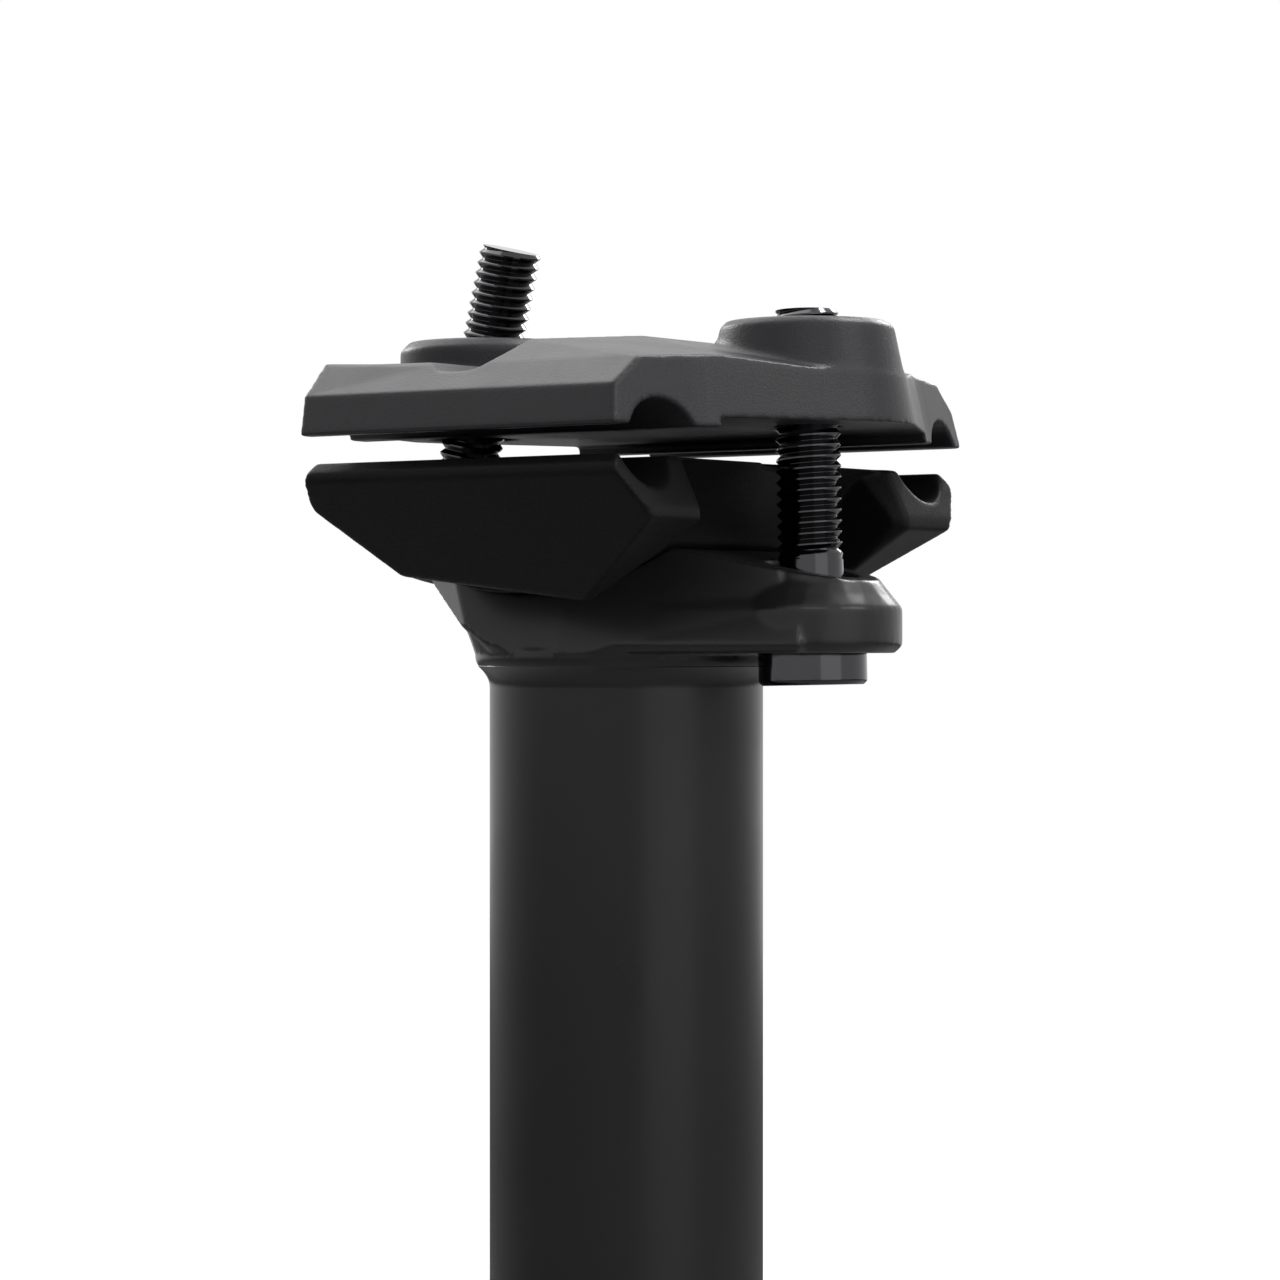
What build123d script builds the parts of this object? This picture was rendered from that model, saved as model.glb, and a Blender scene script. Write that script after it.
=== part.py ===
"""Two-bolt bicycle seatpost, in millimetres.

The tube stands on Z with its cut end at z = 0. X points forward to the front screw and
Y across the saddle rails. A forged head carries a cradle that rocks in a round trough,
and a clamp pulled down on the rails by two screws.
"""
import os
from math import acos, atan2, cos, radians, sin, sqrt, tan

from build123d import *

os.makedirs("parts", exist_ok=True)

# Seatpost
post_length = 350.0      # cut end of the tube to the axis of the saddle rails
tube_diameter = 26.0
tube_wall = 2.2
bore_stop = 30.0         # top of the bore, measured down from the rail axis
end_chamfer = 0.3

# Saddle rails
rail_diameter = 7.0
rail_spacing = 44.0

# Screws
screw_diameter = 6.0
screw_play = 0.05        # between a screw and its thread, on the radius
slot_width = 7.2
slot_length = 9.0
screw_head_diameter = 10.0
screw_head_height = 3.2
hex_key = 5.0
hex_depth = 2.2
screw_head_chamfer = 0.4
screw_tip_chamfer = 0.6
front_screw_length = 31.3
rear_screw_length = 30.0
front_screw_x = 21.45    # where the screw's axis meets its seat
front_screw_lean = 1.4   # degrees, top leaning back
rear_screw_x = -21.6
rear_screw_lean = 14.5   # degrees, top leaning forward

# Head of the post, depths measured down from the rail axis
head_depth = 18.0        # underside of the front boss
neck_lip = 19.3
neck_depth = 21.0
neck_flare = 1.1         # how far the lip stands out from the tube
head_draft = 14.0        # degrees on the sides of the head
bottom_bevel = 0.7
boss_radius = 8.25
boss_wall_depth = 13.9   # top of the upright wall round the front boss
boss_bevel = 2.0
boss_top_depth = 11.4
trough_lip_depth = 8.4
trough_lip_x = 11.8
trough_radius = 23.5
trough_x = -1.5
tail_x = -5.7            # where the underside starts to rise to the rear
tail_rise = 31.0         # degrees
ear_radius = 8.3
ear_thickness = 3.3
rear_seat_depth = 7.75   # seat of the rear screw head
spot_depth = 0.25        # spot face under the front screw head
spot_play = 0.4

# Lower cradle, heights measured from the rail axis
cradle_top = -0.5
cradle_play = 0.05       # between the rocker and its trough
wing_inner = 14.5
wing_inner_foot = 17.8    # the inner faces are drafted
wing_chamfer = 2.2
web_half_width = 16.4
web_front = 18.4
web_back = -15.4
web_foot = 12.2
screw_clearance = 1.2    # between a screw and the web, on the radius

# Upper clamp, heights measured from the rail axis
clamp_bottom = 1.9
clamp_recess = 0.9       # the middle lies this far above the two rail pads
clamp_edge_top = 4.9
clamp_half_width = 28.0
clamp_draft = 12.0       # degrees
pad_inner = 16.5         # where the rail pads begin
clamp_groove_y = 22.6
clamp_groove_radius = 3.7
clamp_groove_top = 4.3
clamp_plateau = 11.15
roof_crest_x = 8.0
roof_fall = 0.19         # towards the front, in the middle
roof_flank_fall = 0.136  # towards the front, beside the middle
roof_side_fall = 0.09    # towards the sides
roof_middle = 6.5        # half the width of the middle at the crest
clamp_boss_x = 20.85
clamp_boss_top = 12.4
clamp_boss_radius = 10.0
boss_ledge = 0.1         # the boss stands back this far from the nose
boss_foot_fillet = 1.1
boss_end_bevel = 0.6
island_x = -16.7
island_radius = 8.8
island_top = 12.2
island_bevel = 0.9
nut_radius = 4.8
nut_length = 11.0
nut_flat = 0.8           # from the nut's centre line to its flat top
nut_reach = 18.23        # from the seat of the rear screw to the nut's centre line
nut_play = 0.1

# Places worked out from the sizes above
head_base = post_length - head_depth
tube_radius = tube_diameter / 2
rail_radius = rail_diameter / 2
screw_radius = screw_diameter / 2
rail_y = rail_spacing / 2
trough_z = post_length - trough_lip_depth + sqrt(trough_radius**2 - (trough_lip_x - trough_x) ** 2)
front_axis = Vector(-sin(radians(front_screw_lean)), 0, cos(radians(front_screw_lean)))
rear_axis = Vector(sin(radians(rear_screw_lean)), 0, cos(radians(rear_screw_lean)))
front_seat = Vector(front_screw_x, 0, head_base + spot_depth)
rear_seat = Vector(rear_screw_x, 0, post_length - rear_seat_depth)


def screw_plane(seat, axis, along=0.0):
    """Plane across a screw's axis, a distance along it from the seat of its head."""
    return Plane(origin=seat + axis * along, x_dir=(axis.Z, 0, -axis.X), z_dir=axis)


def seat_height(x, along=0.0):
    """Height at x of the rear screw's seat, or of a plane parallel to it."""
    on_axis = rear_seat + rear_axis * along
    return on_axis.Z - (x - on_axis.X) * tan(radians(rear_screw_lean))


# Head of the post, before it is joined to the tube
top_front_x = front_screw_x + boss_radius - boss_bevel
top_slope = (boss_top_depth - trough_lip_depth) / (top_front_x - trough_lip_x)


def top_height(x):
    """Height at x of the sloping top of the front boss."""
    return post_length - trough_lip_depth - (x - trough_lip_x) * top_slope


with BuildPart() as blank:
    # Outline with drafted sides
    with BuildSketch(Plane.XY.offset(head_base)):
        with BuildLine():
            half = Polyline((24, 0), (24, 7.6), (3, 14.2), (-12, 14.2), (-22.5, 10), (-22.5, 0))
            mirror(half, about=Plane.XZ)
        make_face()
    extrude(amount=head_depth, taper=head_draft)
    # Flat flanks that narrow the head towards the rear screw
    flank_point = Vector(-10.07, -12.9, post_length - 11.7)
    for side in (1, -1):
        origin = Vector(flank_point.X, side * flank_point.Y, flank_point.Z)
        split(bisect_by=Plane(origin=origin, z_dir=(-16.5, -26.7 * side, -1.35)), keep=Keep.BOTTOM)

# Flare that carries the tube into the rising underside
with BuildPart() as flare_top:
    with BuildSketch(Plane.XZ):
        with BuildLine():
            flank = Spline(
                (tube_radius + neck_flare + 0.25, head_base - 0.3),
                (tube_radius + neck_flare + 0.9, head_base + 1.6),
                (tube_radius + neck_flare + 3.4, head_base + 6.4),
            )
            Polyline(flank @ 1, (0, head_base + 6.4), (0, head_base - 0.3), flank @ 0)
        make_face()
    revolve(axis=Axis.Z)
    add(blank.part, mode=Mode.INTERSECT)

with BuildPart() as head:
    add(blank.part)
    # Upright wall and bevel round the front screw
    with BuildSketch(Plane.XZ):
        with BuildLine():
            Polyline(
                (front_screw_x, head_base),
                (front_screw_x + boss_radius, head_base),
                (front_screw_x + boss_radius, post_length - boss_wall_depth),
                (top_front_x, post_length - boss_top_depth),
                (top_front_x - 1, post_length - trough_lip_depth),
                (front_screw_x, post_length - trough_lip_depth),
                close=True,
            )
        make_face()
    revolve(axis=Axis((front_screw_x, 0, 0), (0, 0, 1)))
    # Side view: sloping top, ear for the rear screw and rising underside
    with BuildSketch(Plane.XZ) as side_view:
        with BuildLine():
            Polyline(
                (31, head_base),
                (31, top_height(31)),
                (0, top_height(0)),
                (-5, seat_height(-5, ear_thickness)),
                (-24, seat_height(-24, ear_thickness)),
                (-24, head_base + (tail_x + 24) * tan(radians(tail_rise))),
                (tail_x, head_base),
                close=True,
            )
        make_face()
        fillet(side_view.vertices().sort_by_distance((tail_x, head_base))[0], radius=5)
    extrude(amount=20, both=True, mode=Mode.INTERSECT)
    underside = head.faces().sort_by(Axis.Z)[0]
    chamfer(underside.edges().filter_by(Axis.Y, reverse=True), bottom_bevel)
    # Ear for the rear screw
    with BuildSketch(screw_plane(rear_seat, rear_axis)):
        with Locations((0.6, 0)):
            Circle(ear_radius)
    extrude(amount=ear_thickness)
    add(flare_top.part)
    # Trough that the cradle rocks in
    with BuildSketch(Plane.XZ):
        with Locations((trough_x, trough_z)):
            Circle(trough_radius)
    extrude(amount=20, both=True, mode=Mode.SUBTRACT)

# Post: tube and head forged in one piece
with BuildPart() as post:
    with BuildSketch(Plane.XZ):
        with BuildLine():
            tube_side = Line((tube_radius, 0), (tube_radius, post_length - neck_depth))
            flare = ThreePointArc(
                tube_side @ 1,
                (tube_radius + neck_flare * 0.3, post_length - (neck_depth + neck_lip) / 2 + 0.1),
                (tube_radius + neck_flare, post_length - neck_lip),
            )
            lip = Line(flare @ 1, (tube_radius + neck_flare + 0.3, head_base + 0.1))
            Polyline(lip @ 1, (0, head_base + 0.1), (0, 0), tube_side @ 0)
        make_face()
    revolve(axis=Axis.Z)
    chamfer(post.faces().sort_by(Axis.Z)[0].edges(), end_chamfer)
    add(head.part)
    with BuildSketch():
        Circle(tube_radius - tube_wall)
    extrude(amount=post_length - bore_stop, mode=Mode.SUBTRACT)
    # Slots for the screws and the faces that their heads seat on
    for seat, axis, radius in (
        (front_seat, front_axis, screw_head_diameter / 2 + spot_play),
        (rear_seat, rear_axis, screw_head_diameter / 2 + spot_play),
    ):
        with BuildSketch(screw_plane(seat, axis)):
            SlotOverall(slot_length, slot_width)
        extrude(amount=20, mode=Mode.SUBTRACT)
        with BuildSketch(screw_plane(seat, axis)):
            Circle(radius)
        extrude(amount=-12, mode=Mode.SUBTRACT)
post.part.label = "post"
export_step(post.part, "parts/post.step")

# Side view of a wing, narrowed towards the middle by a chamfer
with BuildPart() as wing_side:
    with BuildSketch(Plane.XZ.offset(-wing_inner - wing_chamfer)) as wing_view:
        with BuildLine():
            Polyline(
                (15.5, post_length + 6.1),
                (20.95, post_length - 5.15),
                (21.05, post_length - 6.2),
                (9.4, post_length - 13.35),
                (-10.7, post_length - 10.95),
                (-17.5, post_length - 4.9),
                (-17.5, post_length - 4.0),
                (-16.6, post_length - 1.2),
                (-13.5, post_length + 6.1),
                close=True,
            )
        make_face()
    extrude(amount=-20)
    extrude(to_extrude=wing_view.sketch, amount=wing_chamfer, taper=45)

# Lower cradle: one wing, then its mirror image and the web between them
with BuildPart() as lower_cradle:
    with BuildSketch(Plane.YZ.offset(-25)):
        with BuildLine():
            Polyline(
                (wing_inner, post_length + cradle_top),
                (26.0, post_length + cradle_top),
                (27.05, post_length - 1.5),
                (27.05, post_length - 2.3),
                (24.1, post_length - 6.2),
                (18.2, post_length - 14.0),
                (wing_inner_foot, post_length - 14.0),
                close=True,
            )
        make_face()
    extrude(amount=50)
    add(wing_side.part, mode=Mode.INTERSECT)
    mirror(about=Plane.XZ)
    # Web with the rocker under it
    with BuildSketch(Plane.XZ):
        with BuildLine():
            rocker = trough_radius - cradle_play
            foot_z = trough_z - sqrt(rocker**2 - (web_foot - trough_x) ** 2)
            heel_z = trough_z - sqrt(rocker**2 - (web_back - trough_x) ** 2)
            front = ThreePointArc(
                (web_front, post_length + cradle_top), (14.0, post_length - 3.6), (web_foot, foot_z)
            )
            ThreePointArc(front @ 1, (trough_x, trough_z - rocker), (web_back, heel_z))
            Polyline((web_back, heel_z), (web_back, post_length + cradle_top), front @ 0)
        make_face()
    extrude(amount=web_half_width, both=True)
    # Rail grooves
    with BuildSketch(Plane.YZ.offset(-30)):
        with Locations((rail_y, post_length), (-rail_y, post_length)):
            Circle(rail_radius)
    extrude(amount=60, mode=Mode.SUBTRACT)
    # Room for the screws
    for seat, axis in ((front_seat, front_axis), (rear_seat, rear_axis)):
        with BuildSketch(screw_plane(seat, axis)):
            Circle(screw_radius + screw_clearance)
        extrude(amount=40, mode=Mode.SUBTRACT)
lower_cradle.part.label = "lower_cradle"
export_step(lower_cradle.part, "parts/lower_cradle.step")

# Roof of the clamp with the boss of the front screw, wider than the clamp itself
roof_base = post_length + clamp_bottom
boss_foot_radius = clamp_boss_radius + (clamp_recess + boss_ledge) * tan(radians(clamp_draft))
with BuildPart() as roof:
    # From the side: a valley by the rear screw, then a rise to the front half
    with BuildSketch(Plane.XZ):
        with BuildLine():
            ridge = Polyline(
                (-32, post_length + 8.0), (-17, post_length + 8.2), (-10, post_length + 8.5), (-4.8, post_length + 8.5)
            )
            fall = Spline(ridge @ 1, (-1.8, post_length + 7.4), tangents=((1, -0.3), (1, 0)))
            floor = Line(fall @ 1, (0.4, post_length + 7.4))
            rise = Spline(floor @ 1, (2.8, post_length + 8.7), (6.2, post_length + 12), tangents=((1, 0), (1, 0.6)))
            Polyline(rise @ 1, (36, post_length + 12), (36, roof_base), (-32, roof_base), ridge @ 0)
        make_face()
    extrude(amount=32, both=True)
    # From the front: sloping shoulders
    with BuildSketch(Plane.YZ.offset(-40)):
        with BuildLine():
            shoulder = Polyline(
                (0, roof_base),
                (clamp_half_width + 1, roof_base),
                (clamp_half_width + 1, post_length + 4.1),
                (clamp_half_width, post_length + clamp_edge_top),
                (23.85, post_length + 8.1),
                (17, post_length + 12.25),
                (0, post_length + 12.25),
            )
            mirror(shoulder, about=Plane.YZ)
        make_face()
    extrude(amount=80, mode=Mode.INTERSECT)
    # Front half: a plane that falls to the front, with one more on each side of it
    for side, fall in ((-1, roof_flank_fall), (0, roof_fall), (1, roof_flank_fall)):
        crest = Vector(roof_crest_x, side * roof_middle, post_length + clamp_plateau)
        split(bisect_by=Plane(origin=crest, z_dir=(fall, side * roof_side_fall, 1)), keep=Keep.BOTTOM)
    # Boss with a round foot
    bevel_z = clamp_boss_top - boss_end_bevel
    bevel_x = clamp_boss_x + boss_foot_radius - boss_ledge - (bevel_z - clamp_bottom) * tan(radians(clamp_draft))
    with BuildSketch(Plane.XZ):
        with BuildLine():
            Polyline(
                (clamp_boss_x, roof_base),
                (clamp_boss_x + boss_foot_radius - boss_ledge, roof_base),
                (bevel_x, post_length + bevel_z),
                (bevel_x - boss_end_bevel, post_length + clamp_boss_top),
                (clamp_boss_x, post_length + clamp_boss_top),
                close=True,
            )
        make_face()
    revolve(axis=Axis((clamp_boss_x, 0, 0), (0, 0, 1)))
    boss_wall = roof.faces().filter_by(GeomType.CONE).sort_by(SortBy.AREA)[-1]
    foot = boss_wall.edges().filter_by(GeomType.ELLIPSE)
    fillet(foot, radius=boss_foot_fillet)

# Upper clamp
nut_centre = rear_seat + rear_axis * nut_reach
with BuildPart() as upper_clamp:
    # Outline with drafted sides and a round nose
    with BuildSketch(Plane.XY.offset(roof_base)):
        with BuildLine():
            shoulder_point = Vector(22.8, 17.5)
            reach = Vector(shoulder_point.X - clamp_boss_x, shoulder_point.Y)
            turn = atan2(reach.Y, reach.X) - acos(boss_foot_radius / reach.length)
            nose_start = (clamp_boss_x + boss_foot_radius * cos(turn), boss_foot_radius * sin(turn))
            nose_mid = (clamp_boss_x + boss_foot_radius * cos(turn / 2), boss_foot_radius * sin(turn / 2))
            nose = ThreePointArc((clamp_boss_x + boss_foot_radius, 0), nose_mid, nose_start)
            half = Polyline(
                nose @ 1,
                (shoulder_point.X, shoulder_point.Y),
                (22.3, 19),
                (19.9, clamp_half_width),
                (-16.5, clamp_half_width),
                (-18.6, 17),
                (-22.4, 9.2),
                (-25.6, 4),
                (-26.6, 0),
            )
            mirror(nose, about=Plane.XZ)
            mirror(half, about=Plane.XZ)
        make_face()
    extrude(amount=clamp_boss_top - clamp_bottom + 0.1, taper=clamp_draft)
    add(roof.part, mode=Mode.INTERSECT)
    # Boss over the nut of the rear screw
    with BuildSketch(Plane.XY.offset(post_length + 5)):
        with Locations((island_x, 0)):
            Circle(island_radius)
    extrude(amount=island_top - island_bevel - 5)
    with BuildSketch(Plane.XY.offset(post_length + island_top - island_bevel)):
        with Locations((island_x, 0)):
            Circle(island_radius)
    extrude(amount=island_bevel, taper=45)
    # The middle of the underside is set back from the rail pads
    with BuildSketch(Plane.XY.offset(post_length + clamp_bottom)):
        Rectangle(70, 2 * pad_inner)
    extrude(amount=clamp_recess, mode=Mode.SUBTRACT)
    # Rail grooves
    with BuildSketch(Plane.YZ.offset(-30)):
        groove_z = post_length + clamp_groove_top - clamp_groove_radius
        with Locations((clamp_groove_y, groove_z), (-clamp_groove_y, groove_z)):
            Circle(clamp_groove_radius)
    extrude(amount=60, mode=Mode.SUBTRACT)
    # Thread of the front screw, slot of the rear one and the trough of its nut
    with BuildSketch(screw_plane(front_seat, front_axis)):
        Circle(screw_radius + screw_play)
    extrude(amount=45, mode=Mode.SUBTRACT)
    with BuildSketch(screw_plane(rear_seat, rear_axis)):
        SlotOverall(slot_length, slot_width)
    extrude(amount=45, mode=Mode.SUBTRACT)
    with BuildSketch(Plane(origin=nut_centre, x_dir=(1, 0, 0), z_dir=(0, -1, 0))):
        Circle(nut_radius + nut_play)
        Rectangle(2 * (nut_radius + nut_play), 8, align=(Align.CENTER, Align.MIN))
    extrude(amount=nut_length / 2 + nut_play, both=True, mode=Mode.SUBTRACT)
upper_clamp.part.label = "upper_clamp"
export_step(upper_clamp.part, "parts/upper_clamp.step")

# Half-round nut of the rear screw, free to turn in its trough
with BuildPart() as rear_nut:
    with BuildSketch(Plane(origin=nut_centre, x_dir=(rear_axis.Z, 0, -rear_axis.X), z_dir=(0, -1, 0))):
        Circle(nut_radius)
        with Locations((0, nut_flat)):
            Rectangle(20, 20, align=(Align.CENTER, Align.MAX), mode=Mode.INTERSECT)
    extrude(amount=nut_length / 2, both=True)
    with BuildSketch(screw_plane(rear_seat, rear_axis)):
        Circle(screw_radius + screw_play)
    extrude(amount=45, mode=Mode.SUBTRACT)
    chamfer(rear_nut.faces().filter_by(GeomType.PLANE).filter_by(Axis.Y).edges(), 0.3)
rear_nut.part.label = "rear_nut"
export_step(rear_nut.part, "parts/rear_nut.step")

# Screws
for name, seat, axis, length in (
    ("front_screw", front_seat, front_axis, front_screw_length),
    ("rear_screw", rear_seat, rear_axis, rear_screw_length),
):
    with BuildPart() as screw:
        with BuildSketch(screw_plane(seat, axis)):
            Circle(screw_radius)
        extrude(amount=length)
        chamfer(screw.faces().sort_by(Axis.Z)[-1].edges(), screw_tip_chamfer)
        with BuildSketch(screw_plane(seat, axis)):
            Circle(screw_head_diameter / 2)
        extrude(amount=-screw_head_height)
        chamfer(screw.faces().sort_by(Axis.Z)[0].edges(), screw_head_chamfer)
        with BuildSketch(screw_plane(seat, axis, -screw_head_height)):
            RegularPolygon(hex_key / 2, 6, major_radius=False)
        extrude(amount=hex_depth, mode=Mode.SUBTRACT)
    screw.part.label = name
    export_step(screw.part, f"parts/{name}.step")
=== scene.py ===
"""Looks of a two-bolt bicycle seatpost, dressed over its solids.

The tube and the screws are turned shapes worked out as grids of points. The forged head, the
cradle and the clamp are copies of their solids with the edges rounded as forging and blasting
leave them. Every length in the formulas is in millimetres and becomes metres in the mesh.
"""

from math import cos, radians, sin, tau

import bmesh
import bpy
import numpy as np
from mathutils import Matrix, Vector


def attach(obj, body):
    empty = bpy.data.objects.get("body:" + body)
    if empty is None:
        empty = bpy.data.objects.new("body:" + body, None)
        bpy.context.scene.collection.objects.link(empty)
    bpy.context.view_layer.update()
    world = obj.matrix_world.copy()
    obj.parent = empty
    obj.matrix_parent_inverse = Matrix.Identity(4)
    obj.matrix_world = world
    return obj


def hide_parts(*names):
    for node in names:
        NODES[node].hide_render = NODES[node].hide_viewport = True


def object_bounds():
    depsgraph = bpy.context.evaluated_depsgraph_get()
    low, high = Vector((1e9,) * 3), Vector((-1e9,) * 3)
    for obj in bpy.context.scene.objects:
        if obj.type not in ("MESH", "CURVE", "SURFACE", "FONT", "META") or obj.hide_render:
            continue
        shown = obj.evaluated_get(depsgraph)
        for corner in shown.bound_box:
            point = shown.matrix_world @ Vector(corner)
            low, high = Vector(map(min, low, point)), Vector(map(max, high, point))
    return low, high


bl_info = {
    "name": "Bicycle seatpost looks",
    "version": (1, 0, 0),
    "blender": (4, 5, 0),
    "location": "View3D > Sidebar > Seatpost",
    "description": "Turned, threaded and forged pieces of a two-bolt seatpost with their finishes",
    "category": "Object",
}

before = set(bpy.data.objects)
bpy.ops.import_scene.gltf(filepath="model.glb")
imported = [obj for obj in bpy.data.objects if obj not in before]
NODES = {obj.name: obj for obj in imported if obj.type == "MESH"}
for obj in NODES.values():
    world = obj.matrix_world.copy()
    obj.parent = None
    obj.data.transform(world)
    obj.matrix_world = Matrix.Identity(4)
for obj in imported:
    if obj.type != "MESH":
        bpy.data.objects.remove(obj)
CAD_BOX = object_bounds()

MM = 0.001
ROOT = "root"

# Post, in millimetres as its solid has it: tube, bore, and the neck that flares into the head
TUBE_RADIUS = 13.0
BORE_RADIUS = 10.8
BORE_TOP = 320.0
NECK_LIP = 330.7
NECK_FLARE = 1.1
# Where the flare leaves the tube, 0.3 mm under the solid's, and the corner of its bend
NECK_START, NECK_BEND = 328.7, 329.75
# How far the tube's closed upper end is drawn in and stands up inside the head
TUCK_IN, TUCK_UP = 0.3, 0.7
# Underside of the head, and the height above which it is a copy of the solid
HEAD_BASE = 332.0
HEAD_FROM = 331.6
# Radius and height of the disc that closes the head over the neck
NECK_FOOT = np.array(
    [
        (0, 330.5),
        (13.9, 330.5),
        (14.2, 330.9),
        (14.4, 331.5),
        (14.3, 332.0),
        (12.4, 333.3),
        (0, 333.3),
    ]
)
# Plan of a flank's shoulder: x and half width where it leaves the flank and meets the boss, and
# the half width of its inner side
SHOULDER_BACK = (8.0, 12.45)
SHOULDER_FRONT = (25.7, 8.15)
SHOULDER_INNER = 2.0
# Height of each ring of a shoulder over the head's underside, and how far it is drawn in
SHOULDER_RINGS = ((0.0, 0.7), (0.7, 0.17), (4.2, 1.05), (6.7, 3.1))
# Share of that inset which the end at the boss takes
SHOULDER_END_DRAFT = 0.95

# Rear end of the clamp: x where its roof starts to move and where it moves in full, the heights
# of the foot of its wall, of the foot of its roof's slope and of the edge that both rise to, and
# the height over which nothing moves
REAR_START, REAR_WHOLE = -9.0, -15.0
REAR_WALL_FOOT = 352.0
REAR_ROOF_FOOT = 354.4
REAR_EDGE = 358.2
ISLAND_WALL = 359.5
# Half widths between which the walls come to move in full, and the roof's side and its island
REAR_WALL_INNER, REAR_WALL_OUTER = 9.0, 15.0
ROOF_SIDE, ROOF_ISLAND = 26.5, 8.8
# How far the walls move out, the roof moves up, and how much more it does beside the island
WALL_OUT, ROOF_UP, ISLAND_UP = 1.3, 0.5, 0.65

# Socket-head screws: the head, its bevelled and rounded edges, and its hex socket
SCREW_HEAD_RADIUS = 5.0
SCREW_HEAD_HEIGHT = 3.2
HEAD_BEVEL = 0.35
SEAT_BEVEL = 0.15
NECK_ROUNDING = 0.25
HEX_HALF = 2.5
HEX_DEPTH = 2.2
HEX_ROUNDING = 0.12
# Radius and rise of the drilled cone under the socket
DRILL_POINT = ((0, 0.9), (0.25, 0.75), (2.1, 0.05))
# Least radius and height over the end face of the rings from the hexagon out to the socket's mouth
SOCKET_MOUTH = ((0, 0.35), (0, 0.22), (2.75, 0.06), (2.9, 0))
SOCKET_RIM = 3.0
TIP_BEVEL = 0.2
# Thread, as shares of its pitch: depth as the photograph draws it (a real one has 0.61), flat
# crest, flat root on either side, and the length over which it grows from the plain shank
THREAD_DEPTH = 0.41
CREST_FLAT = 0.14
ROOT_FLAT = 0.015
RUNOUT = 1.2
# How far the thread's crests lie inside the shank, and the edge of the end face inside its bevel
CREST_INSIDE = 0.01
END_INSIDE = 0.1
# Piece, node, seat of the head (x, z), lean of the axis from upright in degrees, length, start of
# the thread
SCREWS = (
    ("front_bolt", "front_screw", (21.45, 332.25), -1.4, 31.25, 8.3),
    ("rear_bolt", "rear_screw", (-21.6, 342.25), 14.5, 29.9, 6.0),
)

# Meshes: points round the tube and a screw, points on a rounded corner and on the neck's bend
TUBE_SIDES = 192
SCREW_SIDES = 144
CORNER_POINTS = 6
NECK_POINTS = 9
# Distances in metres under which points are one and an edge is none
MERGED, SLIVER, SOLID_MERGED = 1e-7, 1e-8, 1e-6
# Angle from which an edge of a turned piece is sharp
SHARP_FROM = radians(25)
# Share of the triangles that a forged piece keeps
KEPT_SHARE = 0.44

# Sockets of a Mix node that take its two colours
MIX_COLOURS = (6, 7)

# Floor in metres: half its width, how far it lies under the object, and the ring over which the
# white that it shows to the camera rises from its share near the object to 1
FLOOR_HALF = 3.0
FLOOR_GAP = 0.0005
FADE_FROM, FADE_TO = 0.2, 0.9
NEAR_WHITE = 0.7
# Strength of the even light on the object
WORLD_STRENGTH = 0.15
# Lamps in metres and watts: name, place, aimed at, size, power
LAMPS = (
    ("overhead_softbox", (-0.54, 0.18, 1.4), (0, 0, 0.35), (1.2, 1.2), 10.5),
    ("side_softbox", (1.0, 0.1, 1.0), (0, 0, 0.35), (0.5, 0.5), 3.2),
    ("front_softbox", (0.24, 0.55, 1.39), (0, 0, 0.35), (0.2, 0.2), 8.0),
    ("camera_softbox", (0.8, -1.0, 1.25), (0, 0, 0.35), (0.7, 0.5), 2.4),
    ("rear_softbox", (-1.1, 0.28, 0.8), (0, 0, 0.35), (0.3, 0.3), 4.5),
    ("back_softbox", (-0.17, 1.05, 0.91), (0, 0, 0.35), (0.3, 0.3), 4.0),
    ("right_softbox", (1.05, -0.3, 0.45), (0, 0, 0.34), (0.9, 0.9), 1.6),
)
# Camera of the photograph: level, in front of the post and to its right. Its turn from straight
# ahead, its distance and offset from the tube's axis and its height in metres, its focal length
# and the frame's width in the photograph's pixels, and its shift of one pixel
CAMERA_TURN = radians(52.96)
CAMERA_DISTANCE = 0.362
CAMERA_ASIDE = 0.001294
CAMERA_HEIGHT = 0.3331
FOCAL_PIXELS = 3803.3
FRAME_PIXELS = 1280
SHIFT_PIXELS = 1
SENSOR = 36.0


def linear(hex_code):
    """Linear RGBA of an sRGB colour written as #rrggbb."""
    srgb = [int(hex_code[i : i + 2], 16) / 255 for i in (1, 3, 5)]
    return tuple(c / 12.92 if c <= 0.04045 else ((c + 0.055) / 1.055) ** 2.4 for c in srgb) + (1.0,)


def size_setting(name, description, default, least):
    """Setting for a size, with its default and least value given in millimetres."""
    return bpy.props.FloatProperty(
        name=name,
        description=description,
        default=default * MM,
        min=least * MM,
        unit="LENGTH",
        precision=5,
    )


def colour_setting(name, description, hex_code):
    """Setting for a colour, with its default given as #rrggbb."""
    return bpy.props.FloatVectorProperty(
        name=name,
        description=description,
        subtype="COLOR",
        size=4,
        min=0,
        max=1,
        default=linear(hex_code),
    )


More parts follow.
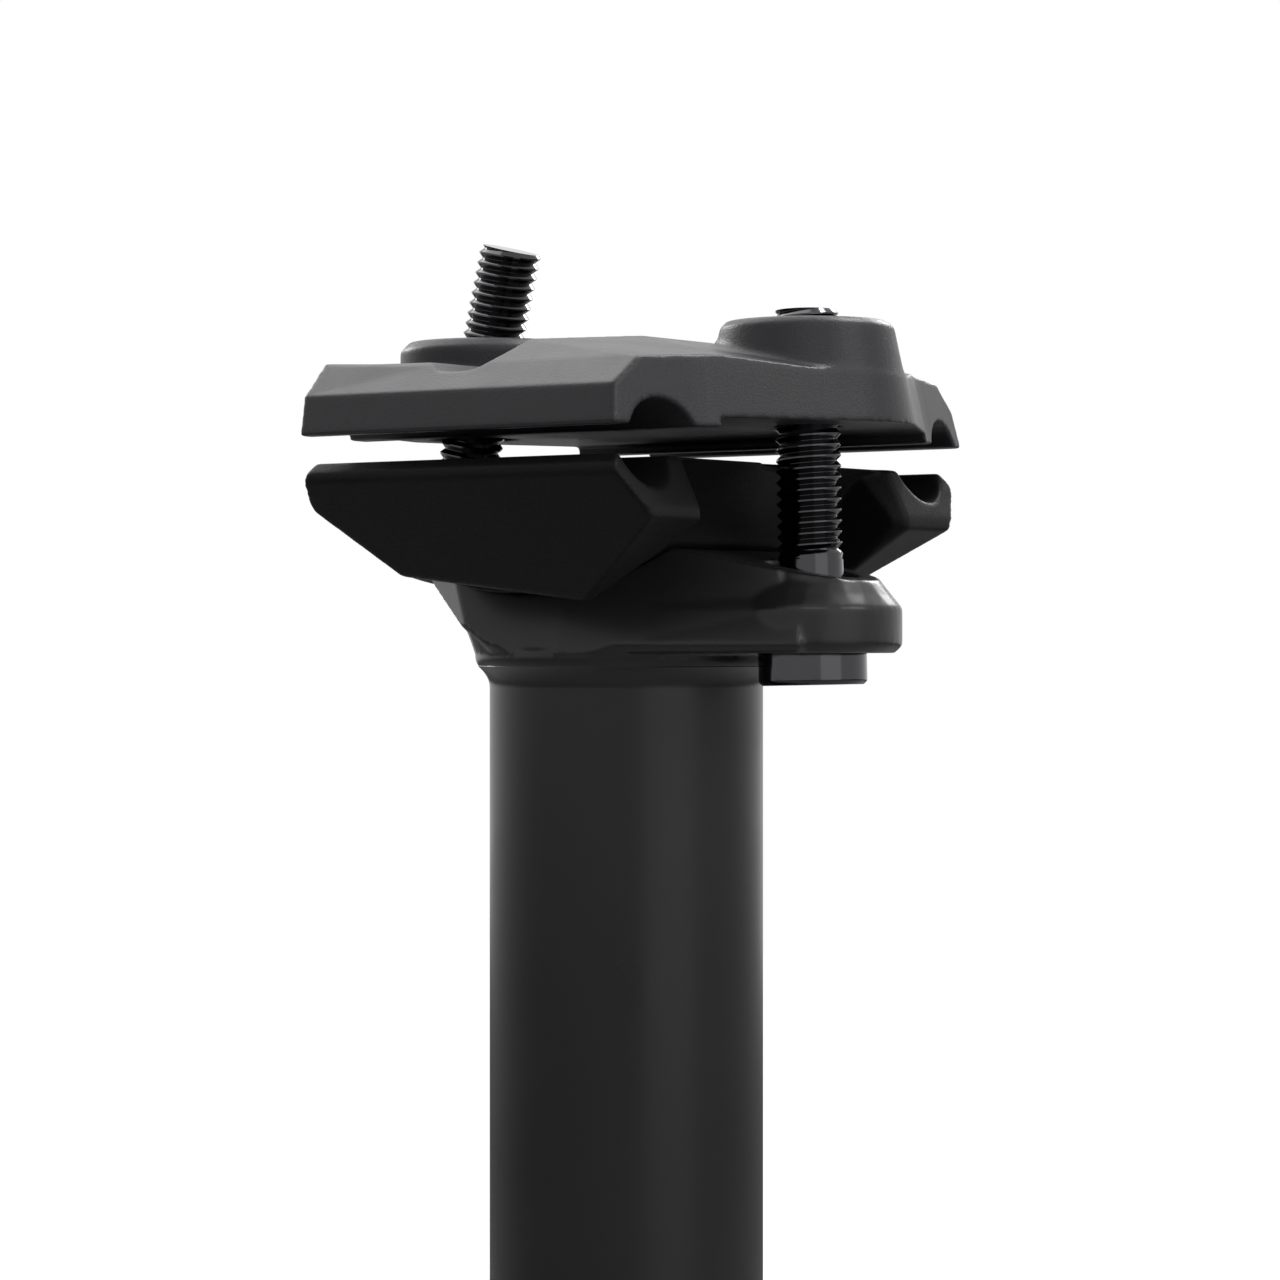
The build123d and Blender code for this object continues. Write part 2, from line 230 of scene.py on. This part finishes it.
class SeatpostLooks(bpy.types.PropertyGroup):
    """Sizes and colours that a user would change"""

    forging_voxel: size_setting(
        "Forging detail", "Edge of the cells that the forged pieces are rebuilt with", 0.2, 0.15
    )
    forging_passes: bpy.props.IntProperty(
        name="Forging rounding",
        description="Smoothing passes that round the edges of the forged pieces",
        default=10,
        min=0,
        max=40,
    )
    thread_pitch: size_setting(
        "Thread pitch", "Distance from one crest of the screw thread to the next", 1.0, 0.25
    )
    screw_radius: size_setting(
        "Screw radius", "Radius of the screws over the crests of the thread", 3.0, 1.0
    )
    tube_colour: colour_setting("Post colour", "Colour of the anodised post", "#262626")
    clamp_colour: colour_setting(
        "Clamp colour", "Colour of the blasted and anodised clamp", "#2b2b2e"
    )
    # Painted shade: the cradle's colour is darker than the clamp's. It stands in for the shade the
    # cradle lies in, under the clamp and on its down-facing faces.
    cradle_painted_shade_colour: colour_setting(
        "Cradle colour",
        "Colour of the blasted and anodised cradle, darker than the clamp's as painted shade",
        "#1c1c1d",
    )
    screw_colour: colour_setting(
        "Screw colour", "Colour of the black-plated steel screws", "#444446"
    )
    floor_colour: colour_setting("Floor colour", "Colour of the studio floor", "#a0a0a0")


def node(tree, kind, links=(), **settings):
    """Adds a shader node, sets its attributes and inputs, and links sockets into its inputs.

    A setting that is the node's own attribute is set on it. Any other setting, and each pair in
    links, goes to the input with that name or number.
    """
    made = tree.nodes.new(kind)
    for key, value in settings.items():
        if hasattr(made, key):
            setattr(made, key, value)
        else:
            made.inputs[key.replace("_", " ")].default_value = value
    for place, socket in links:
        tree.links.new(socket, made.inputs[place])
    return made


def new_material(name):
    """Empty node material with its output, ready for a shader."""
    material = bpy.data.materials.new(name)
    material.use_nodes = True
    tree = material.node_tree
    tree.nodes.clear()
    return material, tree, tree.nodes.new("ShaderNodeOutputMaterial")


def blasted_anodised_aluminium(name, colour, gloss):
    """Bead-blasted, black anodised aluminium: a fine even grain and a soft broad sheen.

    The grain is drawn 0.2 mm wide. The beads leave a finer one, which would not show. A slow
    cloud of 6 mm changes the colour and the sheen a little, as dyeing and handling do.
    """
    material, tree, output = new_material(name)
    place = node(tree, "ShaderNodeTexCoord").outputs["Object"]
    grain = node(
        tree,
        "ShaderNodeTexNoise",
        [("Vector", place)],
        Scale=5000.0,
        Detail=2.0,
        Roughness=0.6,
    )
    cloud = node(
        tree,
        "ShaderNodeTexNoise",
        [("Vector", place)],
        Scale=160.0,
        Detail=4.0,
        Roughness=0.55,
    )
    bump = node(
        tree,
        "ShaderNodeBump",
        [("Height", grain.outputs["Fac"])],
        Strength=0.6,
        Distance=0.00006,
    )
    sheen = node(
        tree,
        "ShaderNodeMapRange",
        [("Value", cloud.outputs["Fac"])],
        From_Min=0.3,
        From_Max=0.7,
        To_Min=0.36,
        To_Max=0.43,
    )
    tint = node(tree, "ShaderNodeMix", [("Factor", cloud.outputs["Fac"])], data_type="RGBA")
    for socket, share in zip(MIX_COLOURS, (0.85, 1.15)):
        tint.inputs[socket].default_value = [share * c for c in colour[:3]] + [1]
    shader = node(
        tree,
        "ShaderNodeBsdfPrincipled",
        [
            ("Base Color", tint.outputs[2]),
            ("Roughness", sheen.outputs["Result"]),
            ("Normal", bump.outputs["Normal"]),
        ],
        Metallic=0.0,
        IOR=1.5,
        Specular_IOR_Level=gloss,
    )
    tree.links.new(shader.outputs["BSDF"], output.inputs["Surface"])
    return material


def satin_anodised_aluminium(colour):
    """Satin black anodised aluminium of the drawn tube and its head.

    Drawing leaves lines along the tube, 0.3 mm apart and 40 mm long. Hands leave smudges some
    12 mm wide that are a little glossier than the rest.
    """
    material, tree, output = new_material("satin_black_anodised_aluminium")
    place = node(tree, "ShaderNodeTexCoord").outputs["Object"]
    along = node(tree, "ShaderNodeMapping", [("Vector", place)], Scale=(1.0, 1.0, 0.008))
    lines = node(
        tree,
        "ShaderNodeTexNoise",
        [("Vector", along.outputs["Vector"])],
        Scale=3200.0,
        Detail=2.0,
    )
    smudge = node(
        tree,
        "ShaderNodeTexNoise",
        [("Vector", place)],
        Scale=85.0,
        Detail=3.0,
        Roughness=0.5,
        Distortion=0.3,
    )
    touched = node(
        tree,
        "ShaderNodeMapRange",
        [("Value", smudge.outputs["Fac"])],
        From_Min=0.3,
        From_Max=0.75,
        To_Min=0.33,
        To_Max=0.27,
    )
    bump = node(
        tree,
        "ShaderNodeBump",
        [("Height", lines.outputs["Fac"])],
        Strength=0.06,
        Distance=0.00003,
    )
    tint = node(tree, "ShaderNodeMix", [("Factor", smudge.outputs["Fac"])], data_type="RGBA")
    for socket, share in zip(MIX_COLOURS, (0.88, 1.12)):
        tint.inputs[socket].default_value = [share * c for c in colour[:3]] + [1]
    shader = node(
        tree,
        "ShaderNodeBsdfPrincipled",
        [
            ("Base Color", tint.outputs[2]),
            ("Roughness", touched.outputs["Result"]),
            ("Normal", bump.outputs["Normal"]),
        ],
        Metallic=0.0,
        IOR=1.5,
        Specular_IOR_Level=0.28,
    )
    tree.links.new(shader.outputs["BSDF"], output.inputs["Surface"])
    return material


def black_plated_steel(colour):
    """Black-plated steel of the screws: a dark mirror, faintly uneven over 0.4 mm."""
    material, tree, output = new_material("black_plated_steel")
    place = node(tree, "ShaderNodeTexCoord").outputs["Object"]
    marks = node(tree, "ShaderNodeTexNoise", [("Vector", place)], Scale=2500.0, Detail=2.0)
    rough = node(
        tree,
        "ShaderNodeMapRange",
        [("Value", marks.outputs["Fac"])],
        From_Min=0.35,
        From_Max=0.65,
        To_Min=0.09,
        To_Max=0.13,
    )
    bump = node(
        tree,
        "ShaderNodeBump",
        [("Height", marks.outputs["Fac"])],
        Strength=0.01,
        Distance=0.000002,
    )
    shader = node(
        tree,
        "ShaderNodeBsdfPrincipled",
        [("Roughness", rough.outputs["Result"]), ("Normal", bump.outputs["Normal"])],
        Base_Color=colour,
        Metallic=1.0,
    )
    tree.links.new(shader.outputs["BSDF"], output.inputs["Surface"])
    return material


def ramp(value, start, end):
    """0 up to the start, 1 from the end on, and straight in between."""
    return np.clip((value - start) / (end - start), 0, 1)


def bend(start, corner, end, steps):
    """Parabola (1-t)^2 A + 2t(1-t) C + t^2 B from A to B with its corner at C, t from 0 to 1."""
    t = np.linspace(0, 1, steps)[:, None]
    return (1 - t) ** 2 * start + 2 * t * (1 - t) * corner + t**2 * end


def rounded_profile(corners):
    """Profile through corners given as (radius, height, tangent length).

    Each corner becomes a parabola that leaves one side and joins the next at the tangent length
    from the corner.
    """
    at = np.array([(r, h) for r, h, _ in corners], float)
    rows = [at[:1]]
    for before, here, after, (_, _, reach) in zip(at, at[1:], at[2:], corners[1:-1]):
        start = here + (before - here) / np.linalg.norm(before - here) * reach
        end = here + (after - here) / np.linalg.norm(after - here) * reach
        rows.append(bend(start, here, end, CORNER_POINTS) if reach else here[None])
    rows.append(at[-1:])
    return np.concatenate(rows)


def link_piece(name, mesh):
    """Object for a mesh, at the origin of the scene."""
    piece = bpy.data.objects.new(name, mesh)
    bpy.context.scene.collection.objects.link(piece)
    return piece


def grid_mesh(name, points, seam=None):
    """Closed mesh over a grid of points (rows, around, xyz) in millimetres.

    Each row is a ring. The first and last rings have no radius, so they close as poles. A row of
    a screw thread climbs as it goes round, and seam says in which row each one goes on.
    """
    rows, around = points.shape[:2]
    index = np.arange(rows * around).reshape(rows, around)
    turned = np.roll(index, -1, axis=1)
    if seam is not None:
        turned[:, -1] = index[seam, 0]
    quads = np.stack([index[:-1], turned[:-1], turned[1:], index[1:]], axis=-1).reshape(-1, 4)
    mesh = bpy.data.meshes.new(name)
    mesh.from_pydata((points.reshape(-1, 3) * MM).tolist(), [], quads.tolist())
    shell = bmesh.new()
    shell.from_mesh(mesh)
    bmesh.ops.remove_doubles(shell, verts=shell.verts, dist=MERGED)
    bmesh.ops.dissolve_degenerate(shell, edges=shell.edges, dist=SLIVER)
    bmesh.ops.holes_fill(shell, edges=[e for e in shell.edges if e.is_boundary])
    bmesh.ops.recalc_face_normals(shell, faces=shell.faces)
    for face in shell.faces:
        face.smooth = True
    shell.to_mesh(mesh)
    shell.free()
    mesh.set_sharp_from_angle(angle=SHARP_FROM)
    return mesh


def around_axis(r, h, angle):
    """Points x = r cos a, y = r sin a, z = h for grids of radius and height."""
    return np.stack([r * np.cos(angle), r * np.sin(angle), h + 0 * angle], axis=-1)


def revolved(profile):
    """Grid of a revolution on Z of a profile given as rows of (radius, height)."""
    angle = np.linspace(0, tau, TUBE_SIDES, endpoint=False)
    return around_axis(profile[:, :1], profile[:, 1:], angle)


def finish_piece(piece, material, slot_name, *replaced):
    """Gives a piece its finish and its body, and hides the nodes it stands for."""
    piece.data.materials.clear()
    piece.data.materials.append(material)
    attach(piece, ROOT)
    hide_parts(*replaced)


def tube_profile():
    """Half outline of the tube: bore, cut end, wall, and the flare of the neck up into the head."""
    lower = rounded_profile(
        [
            (0, BORE_TOP, 0),
            (BORE_RADIUS, BORE_TOP, 0.6),
            (BORE_RADIUS, 0, 0.25),
            (TUBE_RADIUS, 0, 0.3),
            (TUBE_RADIUS, NECK_START, 0),
        ]
    )
    lip = TUBE_RADIUS + NECK_FLARE
    flare = bend(
        np.array([TUBE_RADIUS, NECK_START]),
        np.array([TUBE_RADIUS, NECK_BEND]),
        np.array([lip, NECK_LIP]),
        NECK_POINTS,
    )
    upper = np.array([(lip - TUCK_IN, NECK_LIP + TUCK_UP), (0, NECK_LIP + TUCK_UP)])
    return np.concatenate([lower, flare[1:], upper])


def screw_points(radius, pitch, length, thread_from):
    """Grid of a socket-head screw along Z, with its seat at 0 and its head below.

    A threaded row climbs one pitch per turn from its place u, z = start + pitch (u - 1 + a / turn),
    held between the start and the end. Its radius is crest - depth * s(phase) for the phase
    (z - start) / pitch - a / turn, where s is 0 on the flat crest and rises straight to 1 at the
    root. The socket is half the key width / cos(angle from the middle of the nearest flat). The
    second result is the row in which each row goes on after a turn.
    """
    angle = np.linspace(0, tau, SCREW_SIDES, endpoint=False)
    sixth = tau / 6
    hexagon = HEX_HALF / np.cos((angle + sixth / 2) % sixth - sixth / 2)
    bottom = -SCREW_HEAD_HEIGHT
    deep = bottom + HEX_DEPTH
    socket = [
        *((0 * angle + r, deep + h) for r, h in DRILL_POINT),
        (hexagon - HEX_ROUNDING, deep),
        (hexagon, deep - HEX_ROUNDING),
        *((np.maximum(hexagon, r), bottom + h) for r, h in SOCKET_MOUTH),
    ]
    head = rounded_profile(
        [
            (SOCKET_RIM, bottom, 0),
            (SCREW_HEAD_RADIUS - HEAD_BEVEL, bottom, 0.12),
            (SCREW_HEAD_RADIUS, bottom + HEAD_BEVEL, 0.12),
            (SCREW_HEAD_RADIUS, -SEAT_BEVEL, 0.1),
            (SCREW_HEAD_RADIUS - SEAT_BEVEL, 0, 0.08),
            (radius + SEAT_BEVEL, 0, 0.1),
            (radius, NECK_ROUNDING, 0.1),
            (radius, thread_from, 0),
        ]
    )
    # Rows of the thread: both ends and the middle of each slope, once for every turn
    crest = 0.5 + np.array([-CREST_FLAT, CREST_FLAT]) / 2
    root = np.array([ROOT_FLAT, 1 - ROOT_FLAT])
    breaks = np.sort(np.concatenate([crest, root, (crest + root) / 2]))
    turns = int(np.ceil((length - thread_from) / pitch)) + 1
    place = (np.arange(turns)[:, None] + breaks).reshape(-1, 1)
    z = np.clip(thread_from + pitch * (place - 1 + angle / tau), thread_from, length)
    phase = ((z - thread_from) / pitch - angle / tau) % 1.0
    slope = ramp(np.abs(2 * phase - 1), CREST_FLAT, 1 - 2 * ROOT_FLAT)
    runout = ramp(z, thread_from, thread_from + RUNOUT * pitch)
    tip = radius - np.clip(z - (length - TIP_BEVEL), 0, None)
    thread = np.minimum(radius - CREST_INSIDE - THREAD_DEPTH * pitch * slope * runout, tip)
    flat_end = [np.minimum(thread[-1], radius - TIP_BEVEL) - END_INSIDE, 0 * angle]
    plain = np.repeat(head[:, :1], SCREW_SIDES, axis=1)
    r = np.concatenate([np.array([row for row, _ in socket]), plain, thread, np.array(flat_end)])
    below = np.array([height for _, height in socket] + list(head[:, 1]))
    level = np.repeat(below[:, None], SCREW_SIDES, axis=1)
    h = np.concatenate([level, z, np.full((len(flat_end), SCREW_SIDES), length)])
    seam = np.arange(len(r))
    first, last = len(below), len(below) + len(z) - 1
    seam[first : last + 1] = np.minimum(seam[first : last + 1] + len(breaks), last)
    return around_axis(r, h, angle), seam


def set_on_axis(points, seat, lean):
    """Turns a grid made along Z by the lean in the XZ plane and moves its origin to the seat."""
    s, c = sin(radians(lean)), cos(radians(lean))
    turn = np.array([[c, 0, -s], [0, 1, 0], [s, 0, c]])
    return points @ turn + np.array([seat[0], 0, seat[1]])


def shoulder(side):
    """Grid of the drafted wedge that carries a flank of the head on to the front boss.

    Each ring has four corners in plan. The inset of the rings drafts the wedge by 14 degrees,
    with the bevel of the underside below and the bevel of the boss above. Side is 1 on the left
    and -1 on the right.
    """
    back, back_width = SHOULDER_BACK
    front, front_width = SHOULDER_FRONT
    rings = []
    for height, inset in SHOULDER_RINGS:
        end = front - inset * SHOULDER_END_DRAFT
        corners = (
            (back, back_width - inset),
            (end, front_width - inset),
            (end, SHOULDER_INNER),
            (back, SHOULDER_INNER),
        )
        rings.append([(x, side * y, HEAD_BASE + height) for x, y in corners])
    middle = np.array(rings).mean(axis=1, keepdims=True).repeat(4, axis=1)
    return np.concatenate([middle[:1], np.array(rings), middle[-1:]])


def square_rear(points):
    """Moves the corners of the clamp's rear end to where the photograph has them.

    The end walls stand up straighter, x - 1.3 w, where w rises from 0 to 1 up the wall and fades
    out towards the middle. The roof falls less to the rear, z + (0.5 + 0.65 m) v, where v rises
    from 0 to 1 up the wall and to the rear, and m from the sides to the island in the middle.
    """
    x, y, z = points.T
    aside = np.abs(y)
    up = ramp(z, REAR_WALL_FOOT, REAR_EDGE) * ramp(aside, REAR_WALL_INNER, REAR_WALL_OUTER)
    middle = ramp(aside, ROOF_SIDE, ROOF_ISLAND)
    lift = ramp(z, REAR_ROOF_FOOT, REAR_EDGE) * ramp(x, REAR_START, REAR_WHOLE)
    moved = np.stack([x - WALL_OUT * up, y, z + lift * (ROOF_UP + ISLAND_UP * middle)], axis=-1)
    rear = (x <= REAR_START) & (z <= ISLAND_WALL)
    return np.where(rear[:, None], moved, points)


def forged(name, source, voxel, passes, keep_above=None, added=(), reshape=None):
    """Copy of a solid with the edges that forging leaves.

    The copy is merged, its corners are moved and it is cut level below if asked. It is joined
    with the added shapes, rebuilt from cubic cells and smoothed: each pass moves a point half way
    to the mean of its neighbours, which rounds an edge and leaves a flat face flat. Then
    triangles that the flat faces can spare go.
    """
    mesh = bpy.data.meshes.new(name)
    shell = bmesh.new()
    shell.from_mesh(NODES[source].data)
    bmesh.ops.remove_doubles(shell, verts=shell.verts, dist=SOLID_MERGED)
    if reshape:
        shell.to_mesh(mesh)
        points = np.empty(3 * len(mesh.vertices), np.float32)
        mesh.vertices.foreach_get("co", points)
        points = reshape(points.reshape(-1, 3).astype(float) / MM) * MM
        mesh.vertices.foreach_set("co", points.ravel())
        shell.clear()
        shell.from_mesh(mesh)
    if keep_above is not None:
        cut = bmesh.ops.bisect_plane(
            shell,
            geom=shell.verts[:] + shell.edges[:] + shell.faces[:],
            plane_co=(0, 0, keep_above * MM),
            plane_no=(0, 0, 1),
            clear_inner=True,
        )
        rim = [e for e in cut["geom_cut"] if isinstance(e, bmesh.types.BMEdge)]
        bmesh.ops.holes_fill(shell, edges=rim)
        bmesh.ops.triangulate(shell, faces=shell.faces)
    for points in added:
        extra = grid_mesh("added", points)
        shell.from_mesh(extra)
        bpy.data.meshes.remove(extra)
    shell.to_mesh(mesh)
    shell.free()
    piece = link_piece(name, mesh)
    cells = piece.modifiers.new("cells", "REMESH")
    cells.mode = "VOXEL"
    cells.voxel_size = voxel
    cells.use_smooth_shade = True
    soften = piece.modifiers.new("soften", "SMOOTH")
    soften.factor = 0.5
    soften.iterations = passes
    thin = piece.modifiers.new("thin", "DECIMATE")
    thin.ratio = KEPT_SHARE
    depsgraph = bpy.context.evaluated_depsgraph_get()
    rebuilt = bpy.data.meshes.new_from_object(piece.evaluated_get(depsgraph))
    rebuilt.name = name
    piece.modifiers.clear()
    piece.data = rebuilt
    bpy.data.meshes.remove(mesh)
    return piece


def lay_floor(collection, colour):
    """Floor that shows white to the camera away from the object, and keeps its shadow."""
    mesh = bpy.data.meshes.new("floor")
    level = CAD_BOX[0].z - FLOOR_GAP
    corners = ((-1, -1), (1, -1), (1, 1), (-1, 1))
    points = [(x * FLOOR_HALF, y * FLOOR_HALF, level) for x, y in corners]
    mesh.from_pydata(points, [], [(0, 1, 2, 3)])
    floor = bpy.data.objects.new("floor", mesh)
    collection.objects.link(floor)
    material, tree, output = new_material("pale_floor")
    paint = node(tree, "ShaderNodeBsdfDiffuse", Color=colour)
    place = node(tree, "ShaderNodeTexCoord").outputs["Object"]
    away = node(tree, "ShaderNodeVectorMath", [(0, place)], operation="LENGTH")
    fade = node(
        tree,
        "ShaderNodeMapRange",
        [("Value", away.outputs["Value"])],
        From_Min=FADE_FROM,
        From_Max=FADE_TO,
        To_Min=NEAR_WHITE,
        To_Max=1.0,
    )
    path = node(tree, "ShaderNodeLightPath")
    seen = node(
        tree,
        "ShaderNodeMath",
        [(0, path.outputs["Is Camera Ray"]), (1, fade.outputs[0])],
        operation="MULTIPLY",
    )
    white = node(
        tree, "ShaderNodeEmission", [("Strength", seen.outputs[0])], Color=(1, 1, 1, 1)
    )
    both = node(
        tree, "ShaderNodeAddShader", [(0, paint.outputs["BSDF"]), (1, white.outputs[0])]
    )
    tree.links.new(both.outputs[0], output.inputs["Surface"])
    mesh.materials.append(material)


def light_world(scene):
    """World that lights the object evenly and shows white to the camera and in reflections."""
    world = bpy.data.worlds.new("studio")
    world.use_nodes = True
    scene.world = world
    tree = world.node_tree
    tree.nodes.clear()
    path = node(tree, "ShaderNodeLightPath").outputs
    seen = path["Is Camera Ray"]
    for ray in ("Is Transmission Ray", "Is Glossy Ray"):
        seen = node(tree, "ShaderNodeMath", [(0, seen), (1, path[ray])], operation="MAXIMUM")
        seen = seen.outputs[0]
    lit = node(tree, "ShaderNodeBackground", Color=(1, 1, 1, 1), Strength=WORLD_STRENGTH)
    white = node(tree, "ShaderNodeBackground", Color=(1, 1, 1, 1), Strength=1.0)
    mix = node(
        tree, "ShaderNodeMixShader", [(0, seen), (1, lit.outputs[0]), (2, white.outputs[0])]
    )
    surroundings = node(tree, "ShaderNodeOutputWorld", [("Surface", mix.outputs[0])])
    surroundings.is_active_output = True


def hang_lamps(collection):
    """Soft rectangular lamps, each turned to what it is aimed at."""
    for name, place, target, size, power in LAMPS:
        data = bpy.data.lights.new(name, "AREA")
        data.shape = "RECTANGLE"
        data.size, data.size_y = size
        data.energy = power
        lamp = bpy.data.objects.new(name, data)
        lamp.location = place
        direction = Vector(target) - lamp.location
        lamp.rotation_mode = "QUATERNION"
        lamp.rotation_quaternion = direction.to_track_quat("-Z", "Y")
        collection.objects.link(lamp)


def place_camera(scene):
    """Camera at the photograph's viewing angle."""
    data = bpy.data.cameras.new("camera")
    data.sensor_width = SENSOR
    data.lens = FOCAL_PIXELS / FRAME_PIXELS * SENSOR
    data.shift_y = SHIFT_PIXELS / FRAME_PIXELS
    data.clip_start, data.clip_end = 0.01, 20.0
    camera = bpy.data.objects.new("camera", data)
    camera.location = (
        cos(CAMERA_TURN) * CAMERA_DISTANCE + sin(CAMERA_TURN) * CAMERA_ASIDE,
        -sin(CAMERA_TURN) * CAMERA_DISTANCE + cos(CAMERA_TURN) * CAMERA_ASIDE,
        CAMERA_HEIGHT,
    )
    camera.rotation_euler = (radians(90), 0, radians(90) - CAMERA_TURN)
    scene.collection.objects.link(camera)
    scene.camera = camera


class SEATPOST_OT_post(bpy.types.Operator):
    """Tube with its bore and neck, and the forged head on top of it"""

    bl_idname = "seatpost.post"
    bl_label = "Make the post"

    def execute(self, context):
        looks = context.scene.seatpost_looks
        finish = satin_anodised_aluminium(looks.tube_colour)
        tube = link_piece("post_tube", grid_mesh("post_tube", revolved(tube_profile())))
        finish_piece(tube, finish, "post_black", "post")
        head = forged(
            "post_head",
            "post",
            looks.forging_voxel,
            looks.forging_passes,
            keep_above=HEAD_FROM,
            added=(shoulder(1), shoulder(-1), revolved(NECK_FOOT)),
        )
        finish_piece(head, finish, "post_black", "post")
        return {"FINISHED"}


class SEATPOST_OT_clamp(bpy.types.Operator):
    """Forged cradle under the saddle rails and forged clamp over them"""

    bl_idname = "seatpost.clamp"
    bl_label = "Make the clamp"

    def execute(self, context):
        looks = context.scene.seatpost_looks
        # Piece, node, colour, specular level, multiple of the smoothing passes, corners' mover
        for name, source, colour, gloss, wear, reshape in (
            # The cradle's colour is painted shade: darker than the clamp's, for the shade it lies
            # in under the clamp.
            ("cradle", "lower_cradle", looks.cradle_painted_shade_colour, 0.06, 2, None),
            ("clamp", "upper_clamp", looks.clamp_colour, 0.26, 1, square_rear),
        ):
            finish = blasted_anodised_aluminium("blasted_black_anodised_" + name, colour, gloss)
            passes = wear * looks.forging_passes
            piece = forged(name, source, looks.forging_voxel, passes, reshape=reshape)
            finish_piece(piece, finish, "clamp_black", source)
        return {"FINISHED"}


class SEATPOST_OT_screws(bpy.types.Operator):
    """Two socket-head screws with rolled threads, and the finish of the half-round nut"""

    bl_idname = "seatpost.screws"
    bl_label = "Make the screws"

    def execute(self, context):
        looks = context.scene.seatpost_looks
        finish = black_plated_steel(looks.screw_colour)
        radius, pitch = looks.screw_radius / MM, looks.thread_pitch / MM
        for name, source, seat, lean, length, thread_from in SCREWS:
            points, seam = screw_points(radius, pitch, length, thread_from)
            mesh = grid_mesh(name, set_on_axis(points, seat, lean), seam)
            finish_piece(link_piece(name, mesh), finish, "screw_steel", source)
        nut = NODES["rear_nut"]
        nut.data.materials.clear()
        nut.data.materials.append(finish)
        return {"FINISHED"}


class SEATPOST_OT_stage(bpy.types.Operator):
    """Pale floor, soft lamps, white surroundings and the camera"""

    bl_idname = "seatpost.stage"
    bl_label = "Make the stage"

    def execute(self, context):
        scene = context.scene
        lay_floor(scene.collection, scene.seatpost_looks.floor_colour)
        light_world(scene)
        hang_lamps(scene.collection)
        place_camera(scene)
        scene.view_settings.view_transform = "Standard"
        return {"FINISHED"}


class SEATPOST_PT_panel(bpy.types.Panel):
    """Sizes, colours and pieces of the seatpost"""

    bl_idname = "SEATPOST_PT_panel"
    bl_label = "Seatpost"
    bl_space_type = "VIEW_3D"
    bl_region_type = "UI"
    bl_category = "Seatpost"

    def draw(self, context):
        looks = context.scene.seatpost_looks
        for name in looks.bl_rna.properties.keys():
            if name not in ("rna_type", "name"):
                self.layout.prop(looks, name)
        for operator in OPERATORS:
            self.layout.operator(operator.bl_idname)


OPERATORS = (SEATPOST_OT_post, SEATPOST_OT_clamp, SEATPOST_OT_screws, SEATPOST_OT_stage)
CLASSES = (SeatpostLooks, *OPERATORS, SEATPOST_PT_panel)


def register():
    for entry in CLASSES:
        bpy.utils.register_class(entry)
    bpy.types.Scene.seatpost_looks = bpy.props.PointerProperty(type=SeatpostLooks)


def unregister():
    del bpy.types.Scene.seatpost_looks
    for entry in reversed(CLASSES):
        bpy.utils.unregister_class(entry)


def main():
    """Makes the pieces and the stage in order."""
    register()
    bpy.ops.seatpost.post()
    bpy.ops.seatpost.clamp()
    bpy.ops.seatpost.screws()
    bpy.ops.seatpost.stage()


if __name__ == "__main__":
    main()
